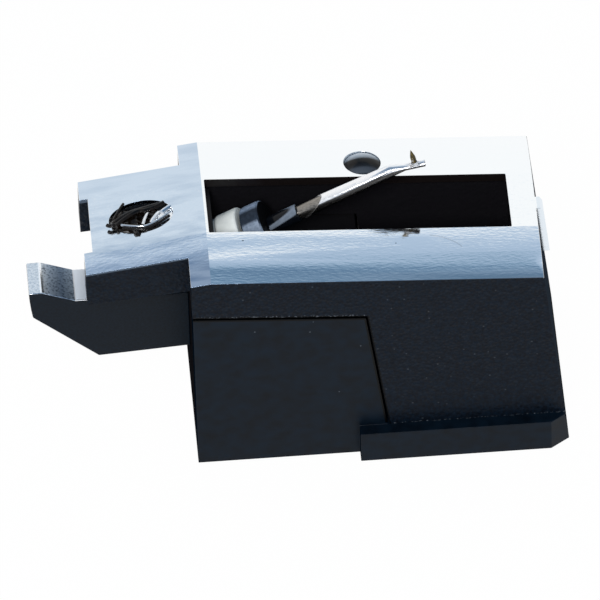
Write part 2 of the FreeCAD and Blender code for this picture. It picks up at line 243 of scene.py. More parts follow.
    lively = addNode(
        tree, "ShaderNodeMapRange", {"Value": fromCalm, 1: calmFrom, 2: calmTo, 3: look["calmShare"]}
    )
    calmed = addNode(tree, "ShaderNodeMath", {0: streaks, 1: lively}, operation="MULTIPLY")
    marks = addNode(
        tree, "ShaderNodeMath", {0: scratch, 1: look["scratchHeight"], 2: calmed}, operation="MULTIPLY_ADD"
    )
    offRib = addNode(tree, "ShaderNodeMath", {0: 1.0, 1: onRib}, operation="SUBTRACT")
    height = addNode(tree, "ShaderNodeMath", {0: marks, 1: offRib}, operation="MULTIPLY")
    bump = addNode(
        tree, "ShaderNodeBump", {"Height": height, "Strength": 0.5, "Distance": look["bump"]}
    )
    setInputs(
        tree, shader, {"Base Color": colour, "Metallic": metal, "Roughness": rough, "Normal": bump}
    )
    return material


# Moulded ABS with a spark-eroded texture: near black, broken into tiny dull sparkles
def makeTextured():
    look = {
        "tones": [(0.38, "#080D15"), (0.66, "#0B1723")],
        "channelShade": toLinear("#171619"),
        "endSheen": toLinear("#30363D"),
        "greySpecks": toLinear("#8E959C"),
        "grain": cells(0.13, 0.13, 0.13),  # the real grit is finer and would not show
        "cloud": cells(0.09, 0.09, 0.14),
        "flecks": cells(0.45, 0.45, 0.45),
        "fleckReach": (0.09, 0.05),
        "fleckShare": 0.12,
        "breaks": cells(0.09, 0.3, 0.06),
        "breakSpan": (0.55, 0.66),
        "breakShare": 0.45,
        "bump": 0.03 * mm,
        "speckLine": (1.34, 1.40),
        "seamLine": (7.06, 7.14),
        "seamX": (-0.2, 5.9),
        "seamShadowTop": (7.03, 7.10),
        "seamShadowFront": (3.25, 3.315),
        "outerY": -3.2,
        "channelX": (0.1, 12.0),
        "rough": (0.34, 0.55),
        "sparkleSpan": (0.1, 0.9),
        "shine": (0.10, 0.0),  # of the sides and of the end faces
        "studReach": 0.66,
        "studTurn": 0.7,
        "studTexture": 0.05,
        "studGloss": -0.28,
        "studShine": 0.12,
        "studHighlightTones": [
            (0.06, "#0B0D10"),
            (0.16, "#4A5159"),
            (0.27, "#40464E"),
            (0.33, "#1C1F23"),
            (0.42, "#030304"),
            (0.58, "#060708"),
            (0.67, "#8A939B"),
            (0.82, "#B9C2CA"),
        ],
    }
    material, tree, shader, coords = startMaterial("Textured ABS black", IOR=1.5)
    studMiddle = place(*sightHole["middle"], sightHole["rim"])
    x, y, z = [addNode(tree, "ShaderNodeSeparateXYZ", {0: coords}, axis) for axis in "XYZ"]
    normal = addNode(tree, "ShaderNodeNewGeometry", {}, "Normal")
    ahead, back = [addNode(tree, "ShaderNodeSeparateXYZ", {0: normal}, axis) for axis in "XY"]
    endFace = addNode(tree, "ShaderNodeMath", {0: ahead, 1: endTurn}, operation="GREATER_THAN")
    sideShine, endShine = look["shine"]
    shine = addNode(tree, "ShaderNodeMapRange", {"Value": endFace, 3: sideShine, 4: endShine})
    atGrain = addNode(tree, "ShaderNodeMapping", {"Vector": coords, "Scale": look["grain"]})
    atCloud = addNode(tree, "ShaderNodeMapping", {"Vector": coords, "Scale": look["cloud"]})
    atBreaks = addNode(tree, "ShaderNodeMapping", {"Vector": coords, "Scale": look["breaks"]})
    grain = addNode(tree, "ShaderNodeTexVoronoi", {"Vector": atGrain, "Scale": 1.0}, "Distance")
    sparkle = addNode(tree, "ShaderNodeTexVoronoi", {"Vector": atGrain, "Scale": 1.0}, "Color")
    cloud = addNode(tree, "ShaderNodeTexNoise", {"Vector": atCloud, "Scale": 1.0, "Detail": 5.0})
    broken = addNode(tree, "ShaderNodeTexNoise", {"Vector": atBreaks, "Scale": 1.0, "Detail": 3.0})
    tone = addNode(tree, "ShaderNodeValToRGB", {"Fac": cloud}, stops=toStops(look["tones"]))
    # Grey specks along the rail top and the panel seam on the near side, besides scattered flecks
    overRail = addNode(tree, "ShaderNodeMath", {0: z, **band(*look["speckLine"])}, operation="COMPARE")
    tilted = addNode(
        tree, "ShaderNodeMath", {0: x, 1: panelSeam["fall"], 2: z}, operation="MULTIPLY_ADD"
    )
    overSeam = addNode(
        tree, "ShaderNodeMath", {0: tilted, **band(*look["seamLine"])}, operation="COMPARE"
    )
    alongSeam = addNode(
        tree, "ShaderNodeMath", {0: x, **band(*look["seamX"], originX)}, operation="COMPARE"
    )
    onSeam = addNode(tree, "ShaderNodeMath", {0: overSeam, 1: alongSeam}, operation="MULTIPLY")
    onLines = addNode(tree, "ShaderNodeMath", {0: overRail, 1: onSeam}, operation="MAXIMUM")
    # Painted shadow along the panel seams, over their dark joints
    topSeamShadow = addNode(
        tree, "ShaderNodeMath", {0: tilted, **band(*look["seamShadowTop"])}, operation="COMPARE"
    )
    overPanel = addNode(tree, "ShaderNodeMath", {0: topSeamShadow, 1: alongSeam}, operation="MULTIPLY")
    raked = addNode(
        tree, "ShaderNodeMath", {0: z, 1: panelSeam["rake"], 2: x}, operation="MULTIPLY_ADD"
    )
    frontSeamShadow = addNode(
        tree, "ShaderNodeMath", {0: raked, **band(*look["seamShadowFront"])}, operation="COMPARE"
    )
    below = addNode(
        tree, "ShaderNodeMath", {0: tilted, 1: look["seamShadowTop"][1] * mm}, operation="LESS_THAN"
    )
    besidePanel = addNode(tree, "ShaderNodeMath", {0: frontSeamShadow, 1: below}, operation="MULTIPLY")
    seamShadow = addNode(tree, "ShaderNodeMath", {0: overPanel, 1: besidePanel}, operation="MAXIMUM")
    seamShaded = addNode(
        tree, "ShaderNodeMix", {0: seamShadow, 6: tone, 7: toLinear(panelSeam["colour"])}, 2, data_type="RGBA"
    )
    outside = addNode(tree, "ShaderNodeMath", {0: y, 1: look["outerY"] * mm}, operation="LESS_THAN")
    inLine = addNode(tree, "ShaderNodeMath", {0: onLines, 1: outside}, operation="MULTIPLY")
    patchTone, covered = look["breakSpan"]
    patches = addNode(
        tree, "ShaderNodeMapRange", {"Value": broken, 1: patchTone, 2: covered, 4: look["breakShare"]}
    )
    greySpecks = addNode(tree, "ShaderNodeMath", {0: inLine, 1: patches}, operation="MULTIPLY")
    atFlecks = addNode(tree, "ShaderNodeMapping", {"Vector": coords, "Scale": look["flecks"]})
    fromFleck = addNode(tree, "ShaderNodeTexVoronoi", {"Vector": atFlecks, "Scale": 1.0}, "Distance")
    outer, inner = look["fleckReach"]
    flecks = addNode(
        tree, "ShaderNodeMapRange", {"Value": fromFleck, 1: outer, 2: inner, 4: look["fleckShare"]}
    )
    specks = addNode(tree, "ShaderNodeMath", {0: greySpecks, 1: flecks}, operation="MAXIMUM")
    specked = addNode(
        tree, "ShaderNodeMix", {0: specks, 6: seamShaded, 7: look["greySpecks"]}, 2, data_type="RGBA"
    )
    # Painted shade: the inside of the channel takes a neutral dark tone of its own
    narrow = addNode(tree, "ShaderNodeMath", {0: y, **band(*channelY)}, operation="COMPARE")
    belowRoof = addNode(
        tree, "ShaderNodeMath", {0: x, **band(*look["channelX"], originX)}, operation="COMPARE"
    )
    inChannel = addNode(tree, "ShaderNodeMath", {0: narrow, 1: belowRoof}, operation="MULTIPLY")
    away = addNode(
        tree, "ShaderNodeVectorMath", {0: coords, 1: studMiddle}, "Value", operation="DISTANCE"
    )
    onStud = addNode(
        tree, "ShaderNodeMath", {0: away, 1: look["studReach"] * mm}, operation="LESS_THAN"
    )
    # Painted highlights: the stud's tones follow which way it faces, light on its far side, with a painted
    # grey reflection low on its near side
    turn = addNode(
        tree, "ShaderNodeMapRange", {"Value": back, 1: -look["studTurn"], 2: look["studTurn"]}
    )
    studHighlights = addNode(tree, "ShaderNodeValToRGB", {"Fac": turn}, stops=toStops(look["studHighlightTones"]))
    # Painted sheen: the forward end faces are painted a lighter grey
    endSheened = addNode(
        tree, "ShaderNodeMix", {0: endFace, 6: specked, 7: look["endSheen"]}, 2, data_type="RGBA"
    )
    channelShaded = addNode(
        tree, "ShaderNodeMix", {0: inChannel, 6: endSheened, 7: look["channelShade"]}, 2, data_type="RGBA"
    )
    colour = addNode(tree, "ShaderNodeMix", {0: onStud, 6: channelShaded, 7: studHighlights}, 2, data_type="RGBA")
    low, high = look["rough"]
    dim, lit = look["sparkleSpan"]
    sheen = addNode(tree, "ShaderNodeMapRange", {"Value": sparkle, 1: dim, 2: lit, 3: low, 4: high})
    rough = addNode(
        tree, "ShaderNodeMath", {0: onStud, 1: look["studGloss"], 2: sheen}, operation="MULTIPLY_ADD"
    )
    texture = addNode(tree, "ShaderNodeMapRange", {"Value": onStud, 3: 1.0, 4: look["studTexture"]})
    height = addNode(tree, "ShaderNodeMath", {0: grain, 1: texture}, operation="MULTIPLY")
    bump = addNode(
        tree, "ShaderNodeBump", {"Height": height, "Strength": 0.5, "Distance": look["bump"]}
    )
    specular = addNode(
        tree, "ShaderNodeMath", {0: onStud, 1: look["studShine"], 2: shine}, operation="MULTIPLY_ADD"
    )
    surface = {"Base Color": colour, "Roughness": rough, "Specular IOR Level": specular, "Normal": bump}
    setInputs(tree, shader, surface)
    return material


# Moulded ABS from a smooth tool: satin black with a soft even sheen
def makeSmooth():
    look = {
        "tones": [(noiseLow, "#040B13"), (noiseHigh, "#081622")],
        "channelShade": toLinear("#151416"),
        "greySpecks": toLinear("#4B525A"),
        "seamShadowTop": (6.88, 6.97),
        "seamShadowFront": (3.12, 3.21),
        "railTop": 1.42,
        "ripple": cells(0.5, 0.5, 0.4),
        "flecks": cells(0.8, 0.8, 0.7),
        "fleckReach": (0.045, 0.027),
        "rough": (0.34, 0.46),
        "shine": (0.12, 0.0),  # of the sides and of the end faces
        "bump": 0.004 * mm,
    }
    material, tree, shader, coords = startMaterial("Smooth ABS black", IOR=1.5)
    normal = addNode(tree, "ShaderNodeNewGeometry", {}, "Normal")
    ahead = addNode(tree, "ShaderNodeSeparateXYZ", {0: normal}, "X")
    steep = addNode(tree, "ShaderNodeMath", {0: ahead}, operation="ABSOLUTE")
    endFace = addNode(tree, "ShaderNodeMath", {0: steep, 1: endTurn}, operation="GREATER_THAN")
    sideShine, endShine = look["shine"]
    shine = addNode(tree, "ShaderNodeMapRange", {"Value": endFace, 3: sideShine, 4: endShine})
    atRipple = addNode(tree, "ShaderNodeMapping", {"Vector": coords, "Scale": look["ripple"]})
    atFlecks = addNode(tree, "ShaderNodeMapping", {"Vector": coords, "Scale": look["flecks"]})
    ripple = addNode(tree, "ShaderNodeTexNoise", {"Vector": atRipple, "Scale": 1.0, "Detail": 5.0})
    away = addNode(tree, "ShaderNodeTexVoronoi", {"Vector": atFlecks, "Scale": 1.0}, "Distance")
    outer, inner = look["fleckReach"]
    dots = addNode(tree, "ShaderNodeMapRange", {"Value": away, 1: outer, 2: inner})
    tone = addNode(tree, "ShaderNodeValToRGB", {"Fac": ripple}, stops=toStops(look["tones"]))
    x, y, z = [addNode(tree, "ShaderNodeSeparateXYZ", {0: coords}, axis) for axis in "XYZ"]
    tilted = addNode(
        tree, "ShaderNodeMath", {0: x, 1: panelSeam["fall"], 2: z}, operation="MULTIPLY_ADD"
    )
    raked = addNode(
        tree, "ShaderNodeMath", {0: z, 1: panelSeam["rake"], 2: x}, operation="MULTIPLY_ADD"
    )
    # Painted shadow along the panel seams, over their dark joints
    topSeamShadow = addNode(
        tree, "ShaderNodeMath", {0: tilted, **band(*look["seamShadowTop"])}, operation="COMPARE"
    )
    frontSeamShadow = addNode(
        tree, "ShaderNodeMath", {0: raked, **band(*look["seamShadowFront"])}, operation="COMPARE"
    )
    aboveRail = addNode(
        tree, "ShaderNodeMath", {0: z, 1: look["railTop"] * mm}, operation="GREATER_THAN"
    )
    besidePanel = addNode(tree, "ShaderNodeMath", {0: frontSeamShadow, 1: aboveRail}, operation="MULTIPLY")
    seamShadow = addNode(tree, "ShaderNodeMath", {0: topSeamShadow, 1: besidePanel}, operation="MAXIMUM")
    seamShaded = addNode(
        tree, "ShaderNodeMix", {0: seamShadow, 6: tone, 7: toLinear(panelSeam["colour"])}, 2, data_type="RGBA"
    )
    specked = addNode(tree, "ShaderNodeMix", {0: dots, 6: seamShaded, 7: look["greySpecks"]}, 2, data_type="RGBA")
    # Painted shade: the inside of the channel takes a neutral dark tone of its own
    inChannel = addNode(tree, "ShaderNodeMath", {0: y, **band(*channelY)}, operation="COMPARE")
    colour = addNode(
        tree, "ShaderNodeMix", {0: inChannel, 6: specked, 7: look["channelShade"]}, 2, data_type="RGBA"
    )
    low, high = look["rough"]
    rough = addNode(
        tree, "ShaderNodeMapRange", {"Value": ripple, 1: noiseLow, 2: noiseHigh, 3: low, 4: high}
    )
    bump = addNode(
        tree, "ShaderNodeBump", {"Height": ripple, "Strength": 0.4, "Distance": look["bump"]}
    )
    surface = {"Base Color": colour, "Roughness": rough, "Specular IOR Level": shine, "Normal": bump}
    setInputs(tree, shader, surface)
    return material


# The tongue is the same satin black, with the silver coat on its upper faces behind the nose
def makeTongue():
    look = {
        "plain": [(noiseLow, "#050C14"), (noiseHigh, "#0A1722")],
        "silver": [(0.38, "#C3CDD8"), (0.6, "#DDE4EB")],
        "edge": toLinear("#FAFCFF"),
        "patchTone": toLinear("#2B3D52"),
        "mottle": cells(0.09, 0.09, 0.09),
        "patchSpan": (0.48, 0.66),
        "patchShare": 0.75,
        "coatAbove": 0.45,
        "coatX": (-7.0, -3.85),
        "slopeX": (-5.47, -4.33),
        "foldHighlightX": (-5.56, -5.45),
        "shelfX": (-4.33, -3.85),
        "lipEdge": 0.1,
        "rough": 0.40,
        "coatRough": (0.16, 0.42),
        "slopeReflection": [(0.0, "#DCE3EA"), (0.25, "#AEBDCE"), (0.6, "#7B8FA6"), (1.0, "#A3B4C6")],
        "bump": 0.003 * mm,
    }
    material, tree, shader, coords = startMaterial(
        "Silver-coated ABS black", IOR=1.5, Specular_IOR_Level=0.13
    )
    x = addNode(tree, "ShaderNodeSeparateXYZ", {0: coords}, "X")
    normal = addNode(tree, "ShaderNodeNewGeometry", {}, "Normal")
    rise = addNode(tree, "ShaderNodeSeparateXYZ", {0: normal}, "Z")
    facingUp = addNode(
        tree, "ShaderNodeMath", {0: rise, 1: look["coatAbove"]}, operation="GREATER_THAN"
    )
    behind = addNode(
        tree, "ShaderNodeMath", {0: x, **band(*look["coatX"], originX)}, operation="COMPARE"
    )
    coated = addNode(tree, "ShaderNodeMath", {0: facingUp, 1: behind}, operation="MULTIPLY")
    atMottle = addNode(tree, "ShaderNodeMapping", {"Vector": coords, "Scale": look["mottle"]})
    mottle = addNode(tree, "ShaderNodeTexNoise", {"Vector": atMottle, "Scale": 1.0, "Detail": 4.0})
    plain = addNode(tree, "ShaderNodeValToRGB", {"Fac": mottle}, stops=toStops(look["plain"]))
    silver = addNode(tree, "ShaderNodeValToRGB", {"Fac": mottle}, stops=toStops(look["silver"]))
    low, high = [(spot - originX) * mm for spot in look["slopeX"]]
    along = addNode(tree, "ShaderNodeMapRange", {"Value": x, 1: low, 2: high})
    # Painted reflection: along the slope the coat runs light at the lip, dark in the middle and lighter
    # again at the shelf, with random darker patches over it
    slopeReflection = addNode(tree, "ShaderNodeValToRGB", {"Fac": along}, stops=toStops(look["slopeReflection"]))
    whole, thin = look["patchSpan"]
    patches = addNode(
        tree, "ShaderNodeMapRange", {"Value": mottle, 1: whole, 2: thin, 4: look["patchShare"]}
    )
    mottledSlope = addNode(tree, "ShaderNodeMix", {0: patches, 6: slopeReflection, 7: look["patchTone"]}, 2, data_type="RGBA")
    onSlope = addNode(
        tree, "ShaderNodeMath", {0: x, **band(*look["slopeX"], originX)}, operation="COMPARE"
    )
    onFoldHighlight = addNode(
        tree, "ShaderNodeMath", {0: x, **band(*look["foldHighlightX"], originX)}, operation="COMPARE"
    )
    onShelf = addNode(
        tree, "ShaderNodeMath", {0: x, **band(*look["shelfX"], originX)}, operation="COMPARE"
    )
    # Painted highlight: the fold line and the shelf get the brightest silver
    onPaintedHighlight = addNode(tree, "ShaderNodeMath", {0: onFoldHighlight, 1: onShelf}, operation="MAXIMUM")
    sloped = addNode(tree, "ShaderNodeMix", {0: onSlope, 6: silver, 7: mottledSlope}, 2, data_type="RGBA")
    coat = addNode(tree, "ShaderNodeMix", {0: onPaintedHighlight, 6: sloped, 7: look["edge"]}, 2, data_type="RGBA")
    colour = addNode(tree, "ShaderNodeMix", {0: coated, 6: plain, 7: coat}, 2, data_type="RGBA")
    lipEnd = low + look["lipEdge"] * mm
    bright, dull = look["coatRough"]
    gloss = addNode(tree, "ShaderNodeMapRange", {"Value": x, 1: low, 2: lipEnd, 3: bright, 4: dull})
    rough = addNode(tree, "ShaderNodeMix", {0: coated, 2: look["rough"], 3: gloss}, 0)
    height = addNode(tree, "ShaderNodeMath", {0: mottle, 1: coated}, operation="MULTIPLY")
    bump = addNode(
        tree, "ShaderNodeBump", {"Height": height, "Strength": 0.5, "Distance": look["bump"]}
    )
    setInputs(
        tree, shader, {"Base Color": colour, "Metallic": coated, "Roughness": rough, "Normal": bump}
    )
    return material


# Small metal and rubber pieces: a pair of near tones each, over a grain of its own size
def makeSimple(name, dark, light, cell, roughness, depth, sides=None, **sockets):
    material, tree, shader, coords = startMaterial(name, **sockets)
    atGrain = addNode(tree, "ShaderNodeMapping", {"Vector": coords, "Scale": cells(*cell)})
    grain = addNode(tree, "ShaderNodeTexNoise", {"Vector": atGrain, "Scale": 1.0, "Detail": 3.0})
    tones = [(noiseLow, dark), (noiseHigh, light)]
    colour = addNode(tree, "ShaderNodeValToRGB", {"Fac": grain}, stops=toStops(tones))
    if sides:
        # painted highlights and shade round a cylinder, from its underside to its top
        normal = addNode(tree, "ShaderNodeNewGeometry", {}, "Normal")
        lean = addNode(tree, "ShaderNodeSeparateXYZ", {0: normal}, sides["along"])
        turn = addNode(tree, "ShaderNodeMapRange", {"Value": lean, 1: sides["under"], 2: sides["top"]})
        shading = addNode(tree, "ShaderNodeValToRGB", {"Fac": turn}, stops=toStops(sides["tones"]))
        layers = {0: 1.0, 6: colour, 7: shading}
        colour = addNode(tree, "ShaderNodeMix", layers, 2, data_type="RGBA", blend_type="MULTIPLY")
        if "frontShade" in sides:
            # the front end is painted a shade of its own
            ahead = addNode(tree, "ShaderNodeSeparateXYZ", {0: normal}, "X")
            least, most = sides["frontTurn"]
            onEnd = addNode(tree, "ShaderNodeMapRange", {"Value": ahead, 1: least, 2: most})
            layers = {0: onEnd, 6: colour, 7: toLinear(sides["frontShade"])}
            colour = addNode(tree, "ShaderNodeMix", layers, 2, data_type="RGBA")
    low, high = roughness
    rough = addNode(
        tree, "ShaderNodeMapRange", {"Value": grain, 1: noiseLow, 2: noiseHigh, 3: low, 4: high}
    )
    bump = addNode(tree, "ShaderNodeBump", {"Height": grain, "Strength": 0.4, "Distance": depth * mm})
    setInputs(tree, shader, {"Base Color": colour, "Roughness": rough, "Normal": bump})
    return material


finishes = {
    "metallised_silver": makeMetallised(),
    "textured_black": makeTextured(),
    "smooth_black": makeSmooth(),
    "tongue_black": makeTongue(),
    # cast metal, its grey lightened as painted light so that it shows in the shade under the window rim
    "ferrule_grey": makeSimple("Lightened zinc grey", "#CDD3D2", "#E0E5E4", (0.2, 0.2, 0.2), (0.4, 0.6), 0.01),
    # off-white nylon straight from the tool
    "bush_cream": makeSimple(
        "Moulded nylon cream", "#EAECE4", "#F7F8F1", (0.3, 0.3, 0.3), (0.4, 0.55), 0.01, IOR=1.53
    ),
    # soft black rubber, with painted highlights on its near side and along its far edge, and painted shade
    # on its front end
    "damper_rubber": makeSimple(
        "Butyl rubber black",
        "#808A96",
        "#B2BCC9",
        (0.12, 0.12, 0.12),
        (0.3, 0.45),
        0.01,
        sides={
            "along": "Y",
            "under": -1.0,
            "top": 0.7,
            "tones": [
                (0.12, "#D8DEE6"),
                (0.30, "#D8DEE6"),
                (0.36, "#4C545E"),
                (0.62, "#424A54"),
                (0.72, "#C4CEDC"),
                (1.0, "#E2E9F2"),
            ],
            "frontShade": "#0A0B0D",
            "frontTurn": (0.45, 0.6),
        },
        IOR=1.52,
        Specular_IOR_Level=0.05,
    ),
    # bare drawn wire
    "wire_steel": makeSimple(
        "Drawn steel wire", "#8F9296", "#B0B3B7", (0.05, 0.05, 0.05), (0.2, 0.35), 0.002, Metallic=1.0
    ),
    # smooth lacquer over the magnet, dark, with a painted reflection band along it
    "magnet_black": makeSimple(
        "Coated magnet gloss black",
        "#929AA4",
        "#B2BAC3",
        (0.2, 0.2, 0.2),
        (0.12, 0.22),
        0.003,
        sides={
            "along": "X",
            "under": 0.5,
            "top": -0.5,
            "tones": [(0.68, "#16191E"), (0.74, "#B4BAC2"), (0.90, "#B4BAC2"), (0.94, "#16191E")],
        },
        IOR=1.6,
        Specular_IOR_Level=0.12,
    ),
    # thin inner tube, unpolished
    "sleeve_grey": makeSimple(
        "Drawn tube dull grey", "#77736E", "#99948D", (0.4, 0.05, 0.05), (0.25, 0.4), 0.003, Metallic=1.0
    ),
    # bright drawn tube, with painted shade on its underside and a painted highlight along its top
    "tube_aluminium": makeSimple(
        "Drawn aluminium bright",
        "#F2F3F4",
        "#FBFBFC",
        (0.8, 0.05, 0.05),
        (0.24, 0.36),
        0.001,
        sides={
            "along": "Z",
            "under": -1.0,
            "top": 1.0,
            "tones": [
                (0.17, "#2A2A2C"),
                (0.36, "#4A4846"),
                (0.47, "#9A958F"),
                (0.57, "#5A5855"),
                (0.71, "#4E4D4C"),
                (0.76, "#FFFFFF"),
            ],
        },
        Metallic=1.0,
    ),
    # ground stone, dark olive
    "tip_diamond": makeSimple(
        "Ground diamond olive",
        "#1C1606",
        "#5C4E18",
        (0.1, 0.1, 0.1),
        (0.3, 0.45),
        0.001,
        IOR=2.42,
        Specular_IOR_Level=0.08,
    ),
    # set resin round the stone, with painted shade below and a painted highlight above
    "cement_clear": makeSimple(
        "Hard clear cement",
        "#C9CBCB",
        "#DFE0E0",
        (0.06, 0.06, 0.06),
        (0.15, 0.3),
        0.004,
        sides={
            "along": "Z",
            "under": -1.0,
            "top": 1.0,
            "tones": [(0.5, "#2A323C"), (0.62, "#FFFFFF")],
        },
        IOR=1.55,
        Specular_IOR_Level=0.2,
    ),
    # plated metal strip
    "clip_bright": makeSimple(
        "Bright plated strip", "#DDE1E6", "#F4F6F8", (0.4, 0.1, 0.1), (0.1, 0.2), 0.003, Metallic=1.0
    ),
    # brown-black cement, lumpy
    "cement_dark": makeSimple(
        "Hard dark cement",
        "#060505",
        "#1A130D",
        (0.22, 0.22, 0.22),
        (0.12, 0.35),
        0.02,
        IOR=1.55,
        Specular_IOR_Level=0.25,
    ),
}
print("finishes made:", len(finishes))


def deselect():
    bpy.ops.object.select_all(action="DESELECT")


def pick(piece):
    deselect()
    piece.select_set(True)
    bpy.context.view_layer.objects.active = piece


def dress(piece, body, slotName, *nodeNames):
    piece.data.materials.clear()
    piece.data.materials.append(finishes[slotName])
    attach(piece, body)
    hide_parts(*nodeNames)


# The mouldings keep their solids, with the fine rounded edges of a moulding tool
mouldings = {
    "silver_shroud": {"body": "housing", "slot": "metallised_silver", "round": {"edge": 0.03, "merge": 1.5}},
    "outer_shell": {"body": "housing", "slot": "textured_black", "round": {"edge": 0.05}},
    "inner_carrier": {"body": "housing", "slot": "smooth_black", "round": {"edge": 0.05}},
    "rear_tongue": {"body": "housing", "slot": "tongue_black", "round": {"edge": 0.04, "fold": 12}},
    "cantilever_tube": {"body": "cantilever", "slot": "tube_aluminium", "round": {}},
    "tip_cement": {"body": "cantilever", "slot": "cement_clear", "round": {}},
}
rounding = {"weld": 0.002, "segments": 2, "bevelAngle": 25}

roofFolds = {"crestHalf": 1.35, "noseX": -3.95, "noseHalf": 1.51, "slack": 0.02, "crestSlack": 0.005}


def onFold(spot):
    # the crest across the roof, and the two lines where the nose starts to curve down
    x = spot.x / mm + originX
    y = abs(spot.y) / mm
    behind = (crestX - x) / (crestX - roofFolds["noseX"])
    half = roofFolds["crestHalf"] + (roofFolds["noseHalf"] - roofFolds["crestHalf"]) * behind
    onCrest = abs(behind) < roofFolds["crestSlack"]
    onSide = behind > -roofFolds["crestSlack"] and abs(y - half) < roofFolds["slack"]
    return onCrest, onSide


def steadyHole(piece):
    # the long faces that end at the sight hole keep one normal each, so it leaves no streaks
    middle = place(*sightHole["middle"], 0).to_2d()
    normals = [corner.vector.copy() for corner in piece.data.corner_normals]
    for face in piece.data.polygons:
        spots = [piece.data.vertices[v].co.to_2d() for v in face.vertices]
        nearest = min((spot - middle).length for spot in spots)
        if nearest < sightHole["reach"] * mm and face.area > sightHole["faceArea"] * mm**2:
            for corner in face.loop_indices:
                normals[corner] = face.normal.copy()
    piece.data.normals_split_custom_set(normals)


def roundedCopy(nodeName, edge=0.0, merge=0.5, fold=30):
    piece = bpy.data.objects.new(nodeName + ".moulded", nodes[nodeName].data.copy())
    bpy.context.scene.collection.objects.link(piece)
    pick(piece)
    bpy.ops.object.mode_set(mode="EDIT")
    bpy.ops.mesh.select_all(action="SELECT")
    bpy.ops.mesh.remove_doubles(threshold=rounding["weld"] * mm)
    bpy.ops.mesh.dissolve_limited(angle_limit=math.radians(merge))
    bpy.ops.object.mode_set(mode="OBJECT")
    if nodeName == "silver_shroud":
        for side in piece.data.edges:
            ends = [onFold(piece.data.vertices[v].co) for v in side.vertices]
            side.use_edge_sharp = any(first and second for first, second in zip(*ends))
    bpy.ops.object.shade_smooth_by_angle(angle=math.radians(fold))
    if edge:
        bevel = piece.modifiers.new("edges", "BEVEL")
        bevel.width = edge * mm
        bevel.segments = rounding["segments"]
        bevel.limit_method = "ANGLE"
        bevel.angle_limit = math.radians(rounding["bevelAngle"])
        bevel.harden_normals = True
        bpy.ops.object.modifier_apply(modifier=bevel.name)
    if nodeName == "silver_shroud":
        steadyHole(piece)
    return piece


for nodeName, making in mouldings.items():
    piece = roundedCopy(nodeName, **making["round"])
    dress(piece, making["body"], making["slot"], nodeName)
print("mouldings rounded:", len(mouldings))


smoothing = {"turned": 20, "stud": 30, "cement": 40}  # degrees


# Turned pieces are drawn out ring by ring from a disc along their own line
def turnedPiece(name, start, direction, profile, sides=48):
    deselect()
    lean = math.atan2(direction.x, direction.z)
    bpy.ops.mesh.primitive_circle_add(
        vertices=sides,
        radius=profile[0][1] * mm,
        fill_type="NGON",
        location=start + direction * profile[0][0] * mm,
        rotation=(0, lean, 0),
    )
    piece = bpy.context.active_object
    piece.name = name
    bpy.ops.object.transform_apply(location=True, rotation=True, scale=True)
    bpy.ops.object.mode_set(mode="EDIT")
    bpy.ops.mesh.select_all(action="SELECT")
    for (fromAt, fromRadius), (toAt, toRadius) in zip(profile, profile[1:]):
        step = direction * (toAt - fromAt) * mm
        bpy.ops.mesh.extrude_region_move(TRANSFORM_OT_translate={"value": step})
        if toRadius != fromRadius:
            size = toRadius / fromRadius
            middle = start + direction * toAt * mm
            bpy.ops.transform.resize(value=(size, size, size), center_override=middle)
    bpy.ops.mesh.select_all(action="SELECT")
    bpy.ops.mesh.normals_make_consistent(inside=False)
    bpy.ops.object.mode_set(mode="OBJECT")
    bpy.ops.object.shade_smooth_by_angle(angle=math.radians(smoothing["turned"]))
    return piece


# Distances along the axis are in mm from the pivot in the damper
pivotX = 2.41
pivot = axisAt(pivotX)


def fromPivot(x):
    return (x - pivotX) / math.cos(tiltAngle)


turned = {
    "bush_ferrule": {
        "body": "housing",
        "slot": "ferrule_grey",
        "profile": [(0.30, 1.00), (0.34, 1.045), (1.26, 1.045), (1.31, 1.00)],
    },
    "suspension_bush": {
        "body": "housing",
        "slot": "bush_cream",
        "profile": [(1.31, 1.06), (1.345, 1.105), (1.95, 1.105), (2.00, 1.09), (2.03, 1.04)],
    },
    "rubber_damper": {
        "body": "damper",
        "slot": "damper_rubber",
        "profile": [
            (2.035, 0.05),
            (2.12, 0.90),
            (2.14, 0.95),
            (2.18, 0.985),
            (2.27, 1.00),
            (2.64, 1.00),
            (2.74, 0.985),
            (2.78, 0.94),
            (2.79, 0.88),
        ],
    },
    "rod_magnet": {
        "body": "cantilever",
        "slot": "magnet_black",
        "profile": [(2.79, 0.29), (2.81, 0.32), (2.84, 0.33), (3.80, 0.33), (3.84, 0.322), (3.86, 0.30)],
    },
    "inner_sleeve": {
        "body": "cantilever",
        "slot": "sleeve_grey",
        "profile": [(3.50, 0.234), (5.65, 0.234)],
    },
    "tie_wire": {
        "body": "housing",
        "slot": "wire_steel",
        "profile": [(0.30, 0.049), (3.09, 0.049)],
    },
}

for nodeName, making in turned.items():
    profile = [(fromPivot(x), radius) for x, radius in making["profile"]]
    piece = turnedPiece(nodeName + ".turned", pivot, axisDirection, profile)
    dress(piece, making["body"], making["slot"], nodeName)
print("turned pieces:", len(turned))

diamond = {
    "foot": place(8.04, 0, 10.6966),
    "lean": 0.21,
    "sides": 12,
    "profile": [
        (-0.10, 0.07),
        (0.14, 0.075),
        (0.32, 0.10),
        (0.45, 0.092),
        (0.70, 0.030),
        (0.774, 0.004),
    ],
}
diamondLine = Vector((-diamond["lean"], 0, 1)).normalized()
tipPiece = turnedPiece(
    "diamond_tip.ground", diamond["foot"], diamondLine, diamond["profile"], diamond["sides"]
)
dress(tipPiece, "cantilever", "tip_diamond", "diamond_tip")
print("diamond ground")

# A glossy domed stud fills the sight hole
stud = {"middle": (*sightHole["middle"], 8.036), "radius": 0.984, "foot": 8.72, "steps": 96}


